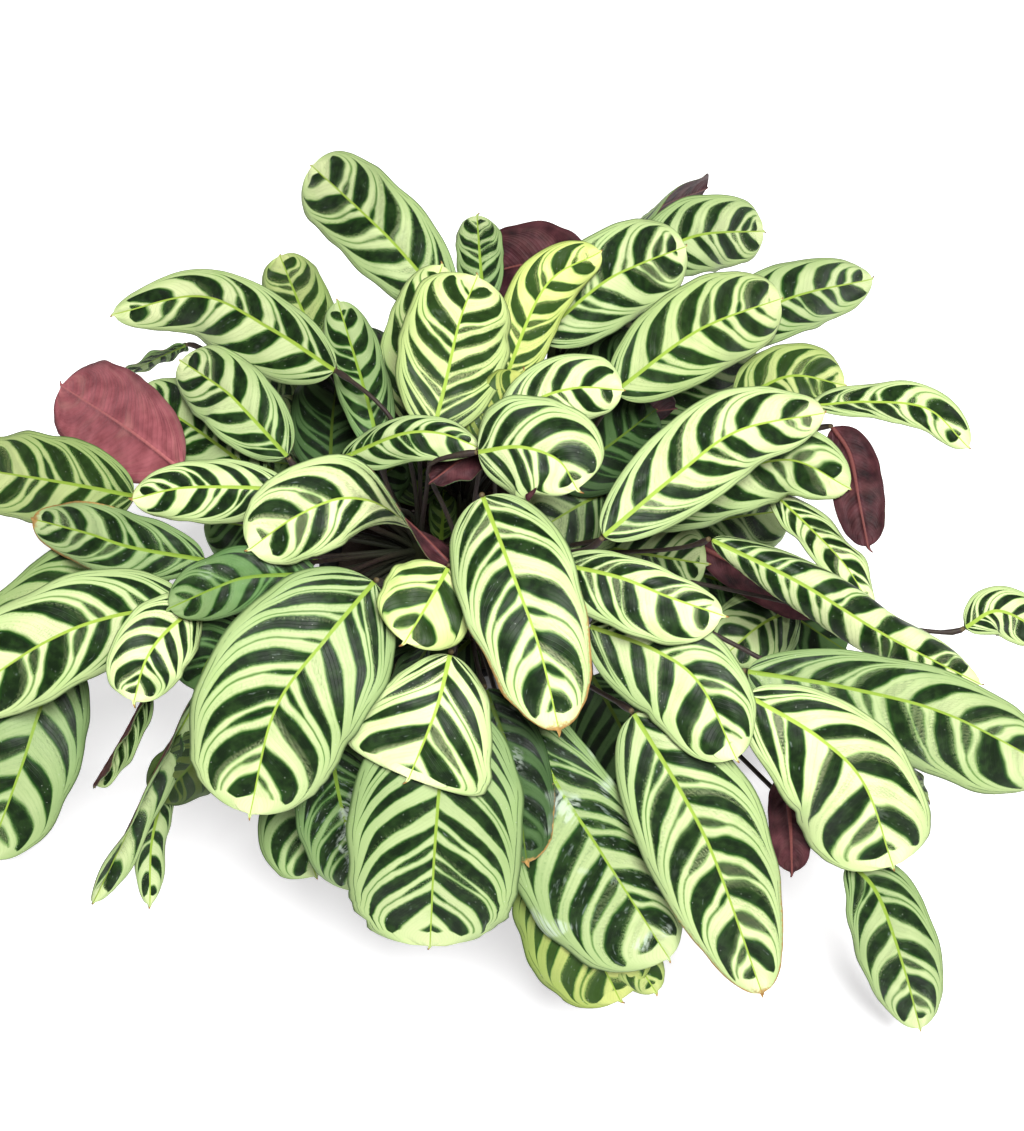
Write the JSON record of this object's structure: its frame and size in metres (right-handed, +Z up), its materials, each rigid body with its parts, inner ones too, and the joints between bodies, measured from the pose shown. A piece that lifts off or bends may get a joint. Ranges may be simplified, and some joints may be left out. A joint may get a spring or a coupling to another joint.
{
  "type": "potted fishbone prayer plant",
  "caption": "Bushy potted prayer plant: striped oval leaves on thin stalks over a round tapered nursery pot of potting mix.",
  "frame": {"origin": "middle of the pot's flat underside", "axes": "+Z up, from the pot's underside to the leaves; +Y toward the back of the plant as it is pictured, +X to its right"},
  "size_m": [0.5709, 0.4793, 0.2668],
  "materials": {
    "leaf_blade": "satin, waxy, patterned",
    "leaf_stalk": "satin",
    "potting_mix": "rough, damp",
    "pot": "matt"
  },
  "bodies": {
    "root": {"pot": "pot", "soil": "potting_mix", "shoot_right": "leaf_stalk", "shoot_back": "leaf_stalk", "shoot_left": "leaf_stalk", "shoot_front": "leaf_stalk", "leaf_back_01": "leaf_blade", "leaf_back_02": "leaf_blade", "leaf_back_03": "leaf_blade", "leaf_back_04": "leaf_blade", "leaf_back_05": "leaf_blade", "leaf_back_06": "leaf_blade", "leaf_back_07": "leaf_blade", "leaf_back_08": "leaf_blade", "leaf_back_09": "leaf_blade", "leaf_back_10": "leaf_blade", "leaf_centre_01": "leaf_blade", "leaf_centre_02": "leaf_blade", "leaf_centre_03": "leaf_blade", "leaf_centre_04": "leaf_blade", "leaf_centre_05": "leaf_blade", "leaf_front_01": "leaf_blade", "leaf_front_02": "leaf_blade", "leaf_front_03": "leaf_blade", "leaf_front_04": "leaf_blade", "leaf_front_05": "leaf_blade", "leaf_front_06": "leaf_blade", "leaf_front_07": "leaf_blade", "leaf_front_08": "leaf_blade", "leaf_front_09": "leaf_blade", "leaf_front_10": "leaf_blade", "leaf_left_01": "leaf_blade", "leaf_left_02": "leaf_blade", "leaf_left_03": "leaf_blade", "leaf_left_04": "leaf_blade", "leaf_left_05": "leaf_blade", "leaf_left_06": "leaf_blade", "leaf_left_07": "leaf_blade", "leaf_left_08": "leaf_blade", "leaf_left_09": "leaf_blade", "leaf_left_10": "leaf_blade", "leaf_left_11": "leaf_blade", "leaf_left_12": "leaf_blade", "leaf_left_13": "leaf_blade", "leaf_left_14": "leaf_blade", "leaf_left_15": "leaf_blade", "leaf_right_01": "leaf_blade", "leaf_right_02": "leaf_blade", "leaf_right_03": "leaf_blade", "leaf_right_04": "leaf_blade", "leaf_right_05": "leaf_blade", "leaf_right_06": "leaf_blade", "leaf_right_07": "leaf_blade", "leaf_right_08": "leaf_blade", "leaf_right_09": "leaf_blade", "leaf_right_10": "leaf_blade", "leaf_right_11": "leaf_blade", "leaf_right_12": "leaf_blade", "leaf_right_13": "leaf_blade", "leaf_right_14": "leaf_blade"}
  },
  "joints": []
}
